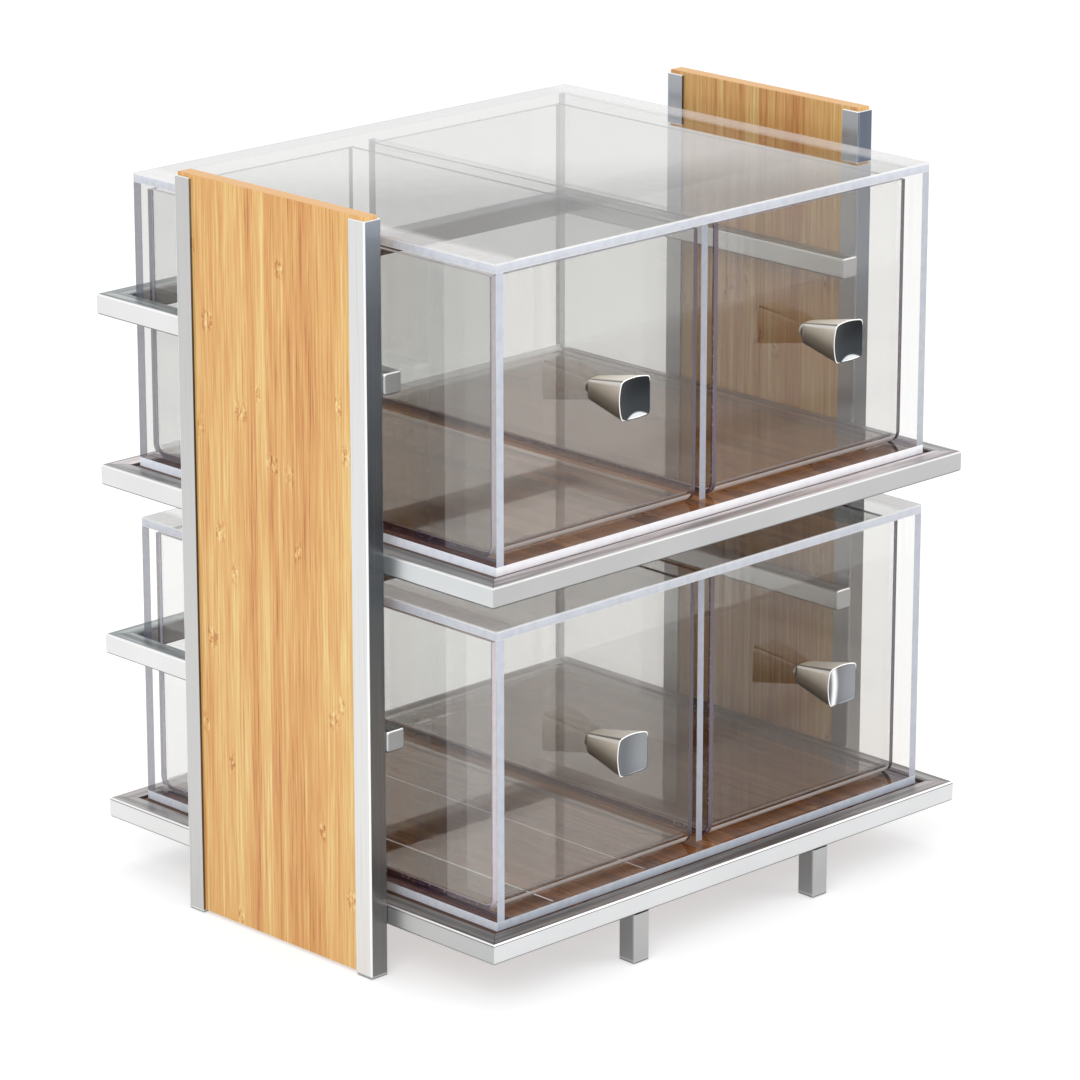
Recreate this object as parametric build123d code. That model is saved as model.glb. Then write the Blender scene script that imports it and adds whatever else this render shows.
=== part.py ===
"""Countertop bread display bin: two clear two-drawer cases in a steel and bamboo stand.

Millimetres. X runs to the right, Y to the back, Z up. The front, with the knobs, faces -Y.
The origin is on the counter, at the centre of the whole object's plan.
"""
from build123d import *
import os

# ---------------------------------------------------------------- steel section
TUBE = 12.7                 # outside of the square tube
TUBE_WALL = 1.2
TUBE_ROUND = 1.8            # outside corner radius of the tube

# ---------------------------------------------------------------- clear cases
CASE_WIDTH = 346.0
CASE_DEPTH = 300.0
CASE_HEIGHT = 175.0
CASE_SHEET = 5.5
SHEET_EDGE = 0.4            # polished edge of a case sheet
DIVIDER_THICK = 5.0
DIVIDER_RECESS = 12.5       # divider's ends inside the open front and back of the case

# ---------------------------------------------------------------- drawers
DRAWER_SHEET = 3.0
DRAWER_HEIGHT = 158.8
DRAWER_RECESS = 11.5        # drawer front behind the front of the case
DRAWER_WALL_GAP = 2.3       # between a drawer and the side wall of the case
DRAWER_DIVIDER_GAP = 4.4    # between a drawer and the divider
DRAWER_BACK_GAP = 3.0       # drawer back inside the open back of the case
DRAWER_FLOOR_GAP = 0.2      # running clearance under a drawer
BEND_RADIUS = 8.0           # outside of the bends at the front and back of the bottom

# ---------------------------------------------------------------- knobs
KNOB_BASE = 12.7            # across the square section at the drawer
KNOB_FACE = 24.2            # across the square section at the front
KNOB_LENGTH = 31.0
KNOB_BOW = 1.3              # how far each side of the face bows outwards
KNOB_CORNER = 2.6           # corner radius of the face
KNOB_DISH_RADIUS = 50.0     # hollow of the face
KNOB_DISH_DEPTH = 2.1       # deepest point of the hollow behind the corners
KNOB_RIM = 0.5              # bevel between the sides and the hollow
KNOB_BORE_DEPTH = 11.0
KNOB_RISE = 88.0            # knob's centre above the bottom of the case
KNOB_SCREW = 4.0            # thread diameter
KNOB_SCREW_REACH = 9.0      # how far the screw goes into the knob
KNOB_SCREW_HEAD = 8.0
KNOB_SCREW_HEAD_THICK = 2.4
KNOB_SCREW_HEAD_ROUND = 1.2
SCREW_CLEARANCE = 0.1       # on the diameter

# ---------------------------------------------------------------- trays and rails
CASE_SIDE_GAP = 4.3         # between a case and the side bars of its tray
CASE_END_GAP = 2.4          # between a case and the front and back bars
LOWER_TRAY_TOP = 43.0
TIER_PITCH = 206.0
RAIL_RISE = 102.5           # top of a middle rail above the top of its tray
RAIL_NOSE = 1.3             # rail ends stand this far in front of the front posts
CAP_THICK = 2.5
CAP_ROUND = 1.2
CAP_SPIGOT = 8.0
CAP_SLIP = 0.1              # clearance round a spigot inside its tube

# ---------------------------------------------------------------- bamboo floors
SLAT_COUNT = 5
SLAT_GAP = 14.0
SLAT_THICK = 8.0
SLAT_ROUND = 1.0
SLAT_DROP = 1.5             # top of the slats below the top of the tray
SLAT_END_CLEARANCE = 0.3
LEDGE_WIDTH = 30.0
LEDGE_THICK = 1.5
SLAT_SCREW = 3.0
SLAT_SCREW_LENGTH = 6.0     # length in the slat
SLAT_SCREW_HEAD = 5.6
SLAT_SCREW_HEAD_THICK = 1.2
SLAT_SCREW_INSET = 15.0     # from the end of a slat

# ---------------------------------------------------------------- posts and side panels
POST_WIDTH = 12.7
POST_DEPTH = 12.7
POST_WALL = 1.5
POST_ROUND = 1.3
POST_SPAN = 157.5           # front face of a front post to back face of the back post
POST_HEIGHT = 438.0
POST_TOP_EASE = 0.4         # chamfer round the outside of a post's cut top
PANEL_CLEARANCE = 0.1
PANEL_RISE = 2.0            # top of a panel above the tops of its posts
PANEL_ROUND = 0.5

# ---------------------------------------------------------------- legs and feet
LEG_SPACING = 148.5
FOOT_THICK = 3.0
FOOT_ROUND = 2.4            # rounding round the underside of a leg
POST_FOOT_THICK = 2.2
POST_FOOT_ROUND = 2.0       # rounding round the underside of a post
WELD_LEG = 1.3              # side of the weld bead at the top of a leg

# ---------------------------------------------------------------- worked-out places
case_half_width = CASE_WIDTH / 2
case_half_depth = CASE_DEPTH / 2
tray_half_width = case_half_width + CASE_SIDE_GAP + TUBE
tray_half_depth = case_half_depth + CASE_END_GAP + TUBE
tray_inner_half_width = tray_half_width - TUBE
tray_inner_half_depth = tray_half_depth - TUBE
tray_tops = {"lower": LOWER_TRAY_TOP, "upper": LOWER_TRAY_TOP + TIER_PITCH}
drawer_front = -case_half_depth + DRAWER_RECESS
drawer_back = case_half_depth - DRAWER_BACK_GAP
bay_width = (CASE_WIDTH - 2 * CASE_SHEET - DIVIDER_THICK) / 2
drawer_width = bay_width - DRAWER_WALL_GAP - DRAWER_DIVIDER_GAP
drawer_centre = DIVIDER_THICK / 2 + DRAWER_DIVIDER_GAP + drawer_width / 2
knob_tip = drawer_front - KNOB_LENGTH
origin_shift = -(min(knob_tip, -tray_half_depth) + tray_half_depth) / 2

STANDING = (Align.CENTER, Align.CENTER, Align.MIN)      # centred, with its base at z=0

parts = {}


def block(low, high):
    """Axis-aligned box between two corners."""
    size = [b - a for a, b in zip(low, high)]
    return Pos(*low) * Box(*size, align=(Align.MIN, Align.MIN, Align.MIN))


def add(name, shapes):
    """Keep a node: one solid, or a list of separate solids, moved to the object's origin."""
    if not isinstance(shapes, list):
        shapes = [shapes]
    placed = [Pos(0, origin_shift, 0) * shape for shape in shapes]
    parts[name] = placed[0] if len(placed) == 1 else Compound(children=placed)


# ---------------------------------------------------------------- square tube
def tube_section(rounded, wall):
    """Hollow square section, centred."""
    bore = TUBE - 2 * wall
    return RectangleRounded(TUBE, TUBE, rounded) - RectangleRounded(bore, bore, rounded - wall / 2)


def tube_along_x(length):
    """Square tube from x=0 to x=length, with its axis on X."""
    return extrude(Plane.YZ * tube_section(TUBE_ROUND, TUBE_WALL), length)


def mitred_bar(length, start_mitre, end_mitre):
    """Bar of the outside length, centred on X, its outside face at y=0 and the frame at +Y."""
    half = length / 2
    outline = [
        (-half, 0),
        (half, 0),
        (half - (TUBE if end_mitre else 0), TUBE),
        (-half + (TUBE if start_mitre else 0), TUBE),
    ]
    keep = extrude(make_face(Polyline(*outline, close=True)), TUBE)
    bar = Pos(-half, TUBE / 2, TUBE / 2) * tube_along_x(length)
    return bar & keep


def closed_frame(prefix, top):
    """Rectangle of four mitred bars, its top face at the given height."""
    bottom = top - TUBE
    long_bar = mitred_bar(2 * tray_half_width, True, True)
    short_bar = mitred_bar(2 * tray_half_depth, True, True)
    add(prefix + "_front_bar", Pos(0, -tray_half_depth, bottom) * long_bar)
    add(prefix + "_back_bar", Pos(0, tray_half_depth, bottom) * Rot(0, 0, 180) * long_bar)
    add(prefix + "_left_bar", Pos(-tray_half_width, 0, bottom) * Rot(0, 0, -90) * short_bar)
    add(prefix + "_right_bar", Pos(tray_half_width, 0, bottom) * Rot(0, 0, 90) * short_bar)


rail_front = -POST_SPAN / 2 - RAIL_NOSE
rail_tube_front = rail_front + CAP_THICK


def middle_rail(prefix, top):
    """Rail round the back of a case: two side bars and a back bar, open at the front."""
    bottom = top - TUBE
    length = tray_half_depth - rail_tube_front
    centre = (tray_half_depth + rail_tube_front) / 2
    left = Rot(0, 0, -90) * mitred_bar(length, True, False)
    right = Rot(0, 0, 90) * mitred_bar(length, False, True)
    back = Rot(0, 0, 180) * mitred_bar(2 * tray_half_width, True, True)
    add(prefix + "_left_bar", Pos(-tray_half_width, centre, bottom) * left)
    add(prefix + "_right_bar", Pos(tray_half_width, centre, bottom) * right)
    add(prefix + "_back_bar", Pos(0, tray_half_depth, bottom) * back)


def end_cap(x, top):
    """Rounded plug in the front end of a rail's side bar."""
    plate = extrude(Plane.XZ * RectangleRounded(TUBE, TUBE, TUBE_ROUND), CAP_THICK)
    plate = fillet(plate.faces().sort_by(Axis.Y)[0].edges(), CAP_ROUND)
    bore = TUBE - 2 * TUBE_WALL - 2 * CAP_SLIP
    spigot = extrude(Plane.XZ * RectangleRounded(bore, bore, TUBE_ROUND - TUBE_WALL / 2), -CAP_SPIGOT)
    return Pos(x, rail_tube_front, top - TUBE / 2) * (plate + spigot)


caps = []
for tier, tray_top in tray_tops.items():
    rail_top = tray_top + RAIL_RISE
    closed_frame(tier + "_tray", tray_top)
    middle_rail(tier + "_rail", rail_top)
    for side in (-1, 1):
        caps.append(end_cap(side * (tray_half_width - TUBE / 2), rail_top))
add("rail_end_caps", caps)


# ---------------------------------------------------------------- floors
slat_length = 2 * (tray_inner_half_depth - SLAT_END_CLEARANCE)
slat_width = (2 * (tray_inner_half_width - SLAT_END_CLEARANCE) - (SLAT_COUNT - 1) * SLAT_GAP) / SLAT_COUNT
slat_places = [(i - (SLAT_COUNT - 1) / 2) * (slat_width + SLAT_GAP) for i in range(SLAT_COUNT)]
slat_screw_y = slat_length / 2 - SLAT_SCREW_INSET


def drill(x, y, bottom, top, diameter):
    """Upright round tool between two heights."""
    return Pos(x, y, bottom) * Cylinder(diameter / 2, top - bottom, align=STANDING)


def floor_slat(x, top):
    """One bamboo slat with its long edges eased and a blind screw hole at each end."""
    bottom = top - SLAT_THICK
    low = (x - slat_width / 2, -slat_length / 2, bottom)
    high = (x + slat_width / 2, slat_length / 2, top)
    slat = block(low, high)
    slat = fillet(slat.edges().filter_by(Axis.Y), SLAT_ROUND)
    for y in (-slat_screw_y, slat_screw_y):
        slat -= drill(x, y, bottom, bottom + SLAT_SCREW_LENGTH, SLAT_SCREW)
    return slat


def floor_ledge(end, top):
    """Flat bar welded inside the front (-1) or back (+1) bar of a tray, drilled for the slat screws."""
    inner = end * (tray_inner_half_depth - LEDGE_WIDTH)
    outer = end * tray_inner_half_depth
    low = (-tray_inner_half_width, min(inner, outer), top - LEDGE_THICK)
    high = (tray_inner_half_width, max(inner, outer), top)
    ledge = block(low, high)
    for x in slat_places:
        ledge -= drill(x, end * slat_screw_y, top - LEDGE_THICK, top, SLAT_SCREW + SCREW_CLEARANCE)
    return ledge


def slat_screw(x, y, seat):
    """Pan-head screw from below, its head against the ledge's underside at the seat height."""
    shank = drill(x, y, seat, seat + LEDGE_THICK + SLAT_SCREW_LENGTH, SLAT_SCREW)
    head = drill(x, y, seat - SLAT_SCREW_HEAD_THICK, seat, SLAT_SCREW_HEAD)
    return shank + head


ledges = []
slat_screws = []
for tier, tray_top in tray_tops.items():
    slat_top = tray_top - SLAT_DROP
    ledge_top = slat_top - SLAT_THICK
    add(tier + "_floor_slats", [floor_slat(x, slat_top) for x in slat_places])
    for end in (-1, 1):
        ledges.append(floor_ledge(end, ledge_top))
        for x in slat_places:
            slat_screws.append(slat_screw(x, end * slat_screw_y, ledge_top - LEDGE_THICK))
add("floor_ledges", ledges)
add("slat_screws", slat_screws)


# ---------------------------------------------------------------- posts and side panels
post_centre_x = tray_half_width + POST_WIDTH / 2


def front_post():
    """U-channel with its web on the front face at y=0 and its open side towards +Y."""
    outer = Pos(0, POST_DEPTH / 2) * Rectangle(POST_WIDTH, POST_DEPTH)
    outer = fillet(outer.vertices().group_by(Axis.Y)[0], POST_ROUND)
    slot_width = POST_WIDTH - 2 * POST_WALL
    slot_depth = POST_DEPTH - POST_WALL
    slot = Pos(0, POST_WALL + slot_depth / 2) * Rectangle(slot_width, slot_depth)
    body = extrude(outer, POST_HEIGHT - POST_FOOT_THICK)
    rim = body.faces().sort_by(Axis.Z)[-1].edges()
    body = chamfer(rim, POST_TOP_EASE) - extrude(slot, POST_HEIGHT - POST_FOOT_THICK)
    return Pos(0, 0, POST_FOOT_THICK) * body


def side_panel(side):
    """Bamboo board held in the channels of the two posts on one side."""
    half_thick = POST_WIDTH / 2 - POST_WALL - PANEL_CLEARANCE
    half_depth = POST_SPAN / 2 - POST_WALL - PANEL_CLEARANCE
    centre = side * post_centre_x
    low = (centre - half_thick, -half_depth, POST_FOOT_THICK)
    high = (centre + half_thick, half_depth, POST_HEIGHT + PANEL_RISE)
    board = block(low, high)
    return fillet(board.faces().sort_by(Axis.Z)[-1].edges(), PANEL_ROUND)


for side, side_name in ((-1, "left"), (1, "right")):
    x = side * post_centre_x
    add("front_" + side_name + "_post", Pos(x, -POST_SPAN / 2, 0) * front_post())
    add("back_" + side_name + "_post", Pos(x, POST_SPAN / 2, 0) * Rot(0, 0, 180) * front_post())
    add(side_name + "_side_panel", side_panel(side))


# ---------------------------------------------------------------- legs and feet
leg_centre_y = tray_half_depth - TUBE / 2
leg_top = LOWER_TRAY_TOP - TUBE


def centre_leg(x, y):
    """Short square tube under a tray bar, with a weld bead along its left and right sides."""
    leg = extrude(tube_section(TUBE_ROUND, TUBE_WALL), leg_top - FOOT_THICK)
    leg = Pos(x, y, FOOT_THICK) * leg
    bead_length = TUBE - 2 * TUBE_ROUND
    for side in (-1, 1):
        root = x + side * TUBE / 2
        corners = [(root, leg_top), (root + side * WELD_LEG, leg_top), (root, leg_top - WELD_LEG)]
        bead = extrude(Plane.XZ * make_face(Polyline(*corners, close=True)), bead_length / 2, both=True)
        leg += Pos(0, y, 0) * bead
    return leg


def rounded_pad(width, corner, thick, under):
    """Square pad standing on z=0, its four underside edges rounded and mitred at the corners."""
    pad = extrude(RectangleRounded(width, width, corner), thick)
    profile = Pos(0, thick / 2) * Rectangle(width, thick)
    profile = fillet(profile.vertices().group_by(Axis.Y)[0], under)
    for plane in (Plane.XZ, Plane.YZ):
        pad = pad & extrude(plane * profile, width, both=True)
    return pad


def leg_foot(x, y):
    """Rounded end of a leg with a spigot up inside the tube."""
    pad = rounded_pad(TUBE, TUBE_ROUND, FOOT_THICK, FOOT_ROUND)
    bore = TUBE - 2 * TUBE_WALL - 2 * CAP_SLIP
    spigot = extrude(RectangleRounded(bore, bore, TUBE_ROUND - TUBE_WALL / 2), FOOT_THICK + CAP_SPIGOT)
    inside = Pos(0, 0, FOOT_THICK) * extrude(Rectangle(TUBE, TUBE), CAP_SPIGOT)
    return Pos(x, y, 0) * (pad + (spigot & inside))


def post_foot(x, y):
    """Closed rounded end of a post, which the side panel stands on."""
    return Pos(x, y, 0) * rounded_pad(POST_WIDTH, POST_ROUND, POST_FOOT_THICK, POST_FOOT_ROUND)


legs = []
leg_feet = []
post_feet = []
for y_side in (-1, 1):
    for x_side in (-1, 1):
        leg_place = (x_side * LEG_SPACING / 2, y_side * leg_centre_y)
        legs.append(centre_leg(*leg_place))
        leg_feet.append(leg_foot(*leg_place))
        post_feet.append(post_foot(x_side * post_centre_x, y_side * (POST_SPAN - POST_DEPTH) / 2))
add("centre_legs", legs)
add("leg_feet", leg_feet)
add("post_feet", post_feet)


# ---------------------------------------------------------------- clear cases
def case_sheets(prefix, bottom):
    """Clear sleeve, open at the front and the back, with a centre divider."""
    top = bottom + CASE_HEIGHT
    inner_x = case_half_width - CASE_SHEET
    floor = bottom + CASE_SHEET
    ceiling = top - CASE_SHEET
    lid = block((-case_half_width, -case_half_depth, ceiling), (case_half_width, case_half_depth, top))
    base = block((-case_half_width, -case_half_depth, bottom), (case_half_width, case_half_depth, floor))
    add(prefix + "_top", chamfer(lid.faces().sort_by(Axis.Z)[-1].edges(), SHEET_EDGE))
    add(prefix + "_bottom", chamfer(base.faces().sort_by(Axis.Z)[0].edges(), SHEET_EDGE))
    wall = block((-case_half_width, -case_half_depth, floor), (-inner_x, case_half_depth, ceiling))
    add(prefix + "_left_wall", wall)
    add(prefix + "_right_wall", Rot(0, 0, 180) * wall)
    divider_end = case_half_depth - DIVIDER_RECESS
    half = DIVIDER_THICK / 2
    add(prefix + "_divider", block((-half, -divider_end, floor), (half, divider_end, ceiling)))


# ---------------------------------------------------------------- drawers
def drawer_outline(inset):
    """Side view of a drawer, inset from the outside: straight front and back, rounded bottom corners."""
    depth = drawer_back - drawer_front
    outline = Rectangle(depth - 2 * inset, DRAWER_HEIGHT - inset, align=(Align.CENTER, Align.MIN))
    low_corners = outline.vertices().group_by(Axis.Y)[0]
    return Pos(0, inset) * fillet(low_corners, BEND_RADIUS - inset)


def across(outline, centre_x, width, floor):
    """A side-view outline carried across the drawer, centred on centre_x."""
    centre_y = (drawer_front + drawer_back) / 2
    return Pos(centre_x, centre_y, floor) * extrude(Plane.YZ * outline, width / 2, both=True)


def front_hole(centre_x, height, diameter):
    """Round tool along Y through the drawer's front sheet."""
    tool = Cylinder(diameter / 2, DRAWER_SHEET, align=STANDING)
    return Pos(centre_x, drawer_front, height) * Rot(-90, 0, 0) * tool


def knob_section(size):
    """Square with bowed sides and rounded corners, both in proportion to its size."""
    bow = KNOB_BOW * size / KNOB_FACE
    half = size / 2 - bow
    corners = [(-half, -half), (half, -half), (half, half), (-half, half)]
    middles = [(0, -half - bow), (half + bow, 0), (0, half + bow), (-half - bow, 0)]
    sides = [ThreePointArc(corners[i], middles[i], corners[(i + 1) % 4]) for i in range(4)]
    face = make_face(sides)
    return fillet(face.vertices(), KNOB_CORNER * size / KNOB_FACE)


def knob(centre_x, height):
    """Tapered square knob with a bevelled rim, a hollowed face and a blind bore for its screw."""
    widest = Pos(0, 0, KNOB_LENGTH - KNOB_RIM) * knob_section(KNOB_FACE)
    tip = Pos(0, 0, KNOB_LENGTH) * knob_section(KNOB_FACE - 2 * KNOB_RIM)
    body = loft([knob_section(KNOB_BASE), widest]) + loft([widest, tip])
    body -= Pos(0, 0, KNOB_LENGTH - KNOB_DISH_DEPTH + KNOB_DISH_RADIUS) * Sphere(KNOB_DISH_RADIUS)
    bore = Cylinder((KNOB_SCREW + SCREW_CLEARANCE) / 2, KNOB_BORE_DEPTH, align=STANDING)
    return Pos(centre_x, drawer_front, height) * Rot(90, 0, 0) * (body - bore)


def knob_screw(centre_x, height):
    """Pan-head screw through the drawer front into the knob."""
    shank_length = KNOB_SCREW_REACH + DRAWER_SHEET
    shank = Cylinder(KNOB_SCREW / 2, shank_length, align=STANDING)
    head = Pos(0, 0, shank_length) * Cylinder(KNOB_SCREW_HEAD / 2, KNOB_SCREW_HEAD_THICK, align=STANDING)
    head = fillet(head.edges().sort_by(Axis.Z)[-1], KNOB_SCREW_HEAD_ROUND)
    screw = Rot(-90, 0, 0) * (shank + head)
    return Pos(centre_x, drawer_front - KNOB_SCREW_REACH, height) * screw


def drawer(prefix, centre_x, case_bottom):
    """Open-topped clear drawer: bent front, bottom and back, two flat sides, a knob and its screw."""
    floor = case_bottom + CASE_SHEET + DRAWER_FLOOR_GAP
    knob_height = case_bottom + KNOB_RISE
    bent = drawer_outline(0) - drawer_outline(DRAWER_SHEET)
    shell = across(bent, centre_x, drawer_width - 2 * DRAWER_SHEET, floor)
    shell -= front_hole(centre_x, knob_height, KNOB_SCREW + SCREW_CLEARANCE)
    add(prefix + "_bent_sheet", shell)
    side_offset = (drawer_width - DRAWER_SHEET) / 2
    add(prefix + "_left_side", across(drawer_outline(0), centre_x - side_offset, DRAWER_SHEET, floor))
    add(prefix + "_right_side", across(drawer_outline(0), centre_x + side_offset, DRAWER_SHEET, floor))
    add(prefix + "_knob", knob(centre_x, knob_height))
    add(prefix + "_knob_screw", knob_screw(centre_x, knob_height))


for tier, tray_top in tray_tops.items():
    case_bottom = tray_top - SLAT_DROP
    case_sheets(tier + "_case", case_bottom)
    for side, side_name in ((-1, "left"), (1, "right")):
        drawer(tier + "_" + side_name + "_drawer", side * drawer_centre, case_bottom)


# ---------------------------------------------------------------- files
os.makedirs("parts", exist_ok=True)
for name, shape in parts.items():
    export_step(shape, "parts/" + name + ".step")
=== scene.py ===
# %% [markdown]
# # Countertop bread bin
# Two clear acrylic cases stand one above the other in a frame of square steel tube. Each case
# holds two clear drawers with a square metal knob, and a bamboo board stands on either side.
# The exact model comes in as a fixed frame in metres, X to the right, Y to the back, Z up, and
# this script gives each node its finish and adds the fine pieces that the solids leave out.

# %% Load the exact model
import math
import bpy
import numpy as np
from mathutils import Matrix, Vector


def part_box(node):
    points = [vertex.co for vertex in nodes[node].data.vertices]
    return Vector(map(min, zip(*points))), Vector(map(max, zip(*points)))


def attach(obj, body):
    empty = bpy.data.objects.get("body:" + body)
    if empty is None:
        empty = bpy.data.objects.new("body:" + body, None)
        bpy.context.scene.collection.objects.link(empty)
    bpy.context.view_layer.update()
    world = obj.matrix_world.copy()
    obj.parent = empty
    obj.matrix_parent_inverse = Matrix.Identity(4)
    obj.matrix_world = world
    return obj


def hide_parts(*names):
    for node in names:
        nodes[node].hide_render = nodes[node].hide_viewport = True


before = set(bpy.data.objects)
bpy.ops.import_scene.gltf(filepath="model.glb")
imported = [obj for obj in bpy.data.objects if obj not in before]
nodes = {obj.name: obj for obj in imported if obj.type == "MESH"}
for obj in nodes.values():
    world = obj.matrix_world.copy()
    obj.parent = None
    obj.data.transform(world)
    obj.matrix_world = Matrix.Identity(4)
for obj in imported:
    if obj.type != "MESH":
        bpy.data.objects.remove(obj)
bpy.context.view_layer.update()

MM = 0.001


TIERS = ("lower", "upper")
SIDES = ("left", "right")

# %% [markdown]
# ## Camera
# The bin is seen from its front left and a little above with a long lens, so that its edges
# stay almost parallel. A camera needs a place and a direction, and giving it as a turn round
# the bin, a height angle and a distance keeps the three things apart that one wants to tune.

# %% Camera
AIM = (0.0056, 0.0022, 0.1971)
TURN, RISE, DISTANCE = math.radians(-44.17), math.radians(17.21), 3.002
SENSOR, LENS = 36.0, 170.12


def look_from(name, aim, turn, rise, distance, lens):
    """Camera at aim + distance * (sin t cos r, -cos t cos r, sin r), looking at aim, upright."""
    data = bpy.data.cameras.new(name)
    data.lens, data.sensor_width = lens, SENSOR
    data.clip_start, data.clip_end = 0.05, 100.0
    camera = bpy.data.objects.new(name, data)
    camera.location = (
        aim[0] + distance * math.sin(turn) * math.cos(rise),
        aim[1] - distance * math.cos(turn) * math.cos(rise),
        aim[2] + distance * math.sin(rise),
    )
    camera.rotation_euler = (math.pi / 2 - rise, 0.0, turn)
    bpy.context.scene.collection.objects.link(camera)
    return camera


camera = look_from("camera", AIM, TURN, RISE, DISTANCE, LENS)
bpy.context.scene.camera = camera
bpy.context.scene.view_settings.view_transform = "Standard"
print("camera at", [round(v, 3) for v in camera.location])

# %% [markdown]
# ## A short way to write shader maths
# A finish is a small sum: a stripe times a grain plus a speck. Written as nodes by hand that
# sum is unreadable, so a Wire stands for one socket and turns +, -, * and / into Math nodes.
# A Finish holds one material, and its node() method is the only place that adds other nodes.

# %% Wire and Finish
class Wire:
    """One output socket. Arithmetic with numbers or other wires adds a Math node."""

    def __init__(self, finish, socket):
        self.finish, self.socket = finish, socket

    def maths(self, operation, *others):
        sockets = dict(enumerate((self,) + others))
        return self.finish.node("ShaderNodeMath", {"operation": operation}, sockets)

    def __add__(self, other):
        return self.maths("ADD", other)

    def __mul__(self, other):
        return self.maths("MULTIPLY", other)

    def __sub__(self, other):
        return self.maths("SUBTRACT", other)

    def __truediv__(self, other):
        return self.maths("DIVIDE", other)

    def __pow__(self, other):
        return self.maths("POWER", other)

    def __rsub__(self, other):
        return self.finish.node("ShaderNodeMath", {"operation": "SUBTRACT"}, {0: other, 1: self})

    __radd__ = __add__
    __rmul__ = __mul__

    def size(self):
        """|x|"""
        return self.maths("ABSOLUTE")

    def floor(self):
        """Whole part of x."""
        return self.maths("FLOOR")

    def over(self, limit):
        """1 where x > limit, else 0."""
        return self.maths("GREATER_THAN", limit)

    def larger(self, other):
        """max(x, other)"""
        return self.maths("MAXIMUM", other)

    def step(self, start, end):
        """Smooth step: 0 up to start, 1 from end on, s*s*(3-2s) between."""
        return self.finish.node(
            "ShaderNodeMapRange",
            {"interpolation_type": "SMOOTHSTEP"},
            {"Value": self, "From Min": start, "From Max": end},
        )


class Finish:
    """A material with an empty node tree, or the tree it is given."""

    def __init__(self, name, tree=None):
        self.material = None
        if tree is None:
            self.material = bpy.data.materials.new(name)
            self.material.use_nodes = True
            tree = self.material.node_tree
        tree.nodes.clear()
        self.tree = tree

    def node(self, kind, settings=None, sockets=None, output=0):
        """Adds a node, its settings first and then its sockets' values or links; one output."""
        made = self.tree.nodes.new(kind)
        for key, value in (settings or {}).items():
            if key == "stops":
                for place in range(len(value) - 2):
                    made.color_ramp.elements.new(0.5)
                for element, (place, colour) in zip(made.color_ramp.elements, value):
                    element.position, element.color = place, (*colour, 1.0)
            else:
                setattr(made, key, value)
        for key, value in (sockets or {}).items():
            if isinstance(value, Wire):
                self.tree.links.new(value.socket, made.inputs[key])
            else:
                made.inputs[key].default_value = value
        return Wire(self, made.outputs[output])

    def place(self):
        """The point on the piece, in metres, as three wires."""
        point = self.node("ShaderNodeTexCoord", output="Object")
        return [self.node("ShaderNodeSeparateXYZ", None, {0: point}, axis) for axis in range(3)]

    def facing(self):
        """The surface's own direction as three wires."""
        normal = self.node("ShaderNodeTexCoord", output="Normal")
        return [self.node("ShaderNodeSeparateXYZ", None, {0: normal}, axis) for axis in range(3)]

    def point(self, x, y, z):
        return self.node("ShaderNodeCombineXYZ", None, {0: x, 1: y, 2: z})

    def noise(self, point, scale, detail=2.0, roughness=0.5):
        """Cloudy noise between 0 and 1, with features about 1/scale wide."""
        values = {"Vector": point, "Scale": scale, "Detail": detail, "Roughness": roughness}
        return self.node("ShaderNodeTexNoise", None, values)

    def chance(self, seed):
        """A random number between 0 and 1 for each whole seed."""
        return self.node("ShaderNodeTexWhiteNoise", {"noise_dimensions": "1D"}, {"W": seed})

    def mix(self, factor, first, second, blend="MIX"):
        """first * (1 - factor) + second * factor, for colours."""
        settings = {"data_type": "RGBA", "blend_type": blend}
        return self.node("ShaderNodeMix", settings, {0: factor, 6: first, 7: second}, 2)

    def bump(self, height, depth):
        """Normal of a relief: height from 0 to 1, depth in metres."""
        return self.node("ShaderNodeBump", None, {"Height": height, "Distance": depth})

    def principled(self, **sockets):
        names = {key.replace("_", " "): value for key, value in sockets.items()}
        return self.node("ShaderNodeBsdfPrincipled", None, names)

    def surface(self, shader, kind="ShaderNodeOutputMaterial"):
        """Sends a shader to the output and returns the material."""
        out = self.tree.nodes.new(kind)
        self.tree.links.new(shader.socket, out.inputs["Surface"])
        return self.material


def srgb(red, green, blue, alpha=1.0):
    """Screen colour 0..255 to linear light: ((c + 0.055) / 1.055) ** 2.4; c / 12.92 if dark."""
    levels = [v / 255 for v in (red, green, blue)]
    light = [v / 12.92 if v < 0.04045 else ((v + 0.055) / 1.055) ** 2.4 for v in levels]
    return (*light, alpha)


print("a mid grey of 188 is", round(srgb(188, 188, 188)[0], 3), "in linear light")

# %% [markdown]
# ## Floor, world and lamps
# The bin stands on a white sweep under soft light. The floor is a large plane. Rays that come
# from the camera, or by way of metal and clear sheet, see it a little brighter than the light
# alone would make it, so it goes to white but still takes the shadow. The lamps are large and
# weak, and the world does most of the lighting, so a colour comes out about as it is written.

# %% Stage and light
FLOOR_REACH = 12.0
WHITE, PAPER_WHITE, PAPER_SEEN = (1, 1, 1, 1), (0.80, 0.80, 0.80, 1), (0.62, 0.62, 0.62, 1)
PAPER_GLOW, WORLD_LIGHT = 0.56, 0.64


def seen_ray(finish):
    """1 for rays from the camera, a mirror or a clear sheet, 0 for rays that gather light."""
    kinds = ("Is Camera Ray", "Is Glossy Ray", "Is Transmission Ray")
    camera_ray, mirror_ray, clear_ray = [
        finish.node("ShaderNodeLightPath", output=kind) for kind in kinds
    ]
    return camera_ray.larger(mirror_ray).larger(clear_ray)


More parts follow.
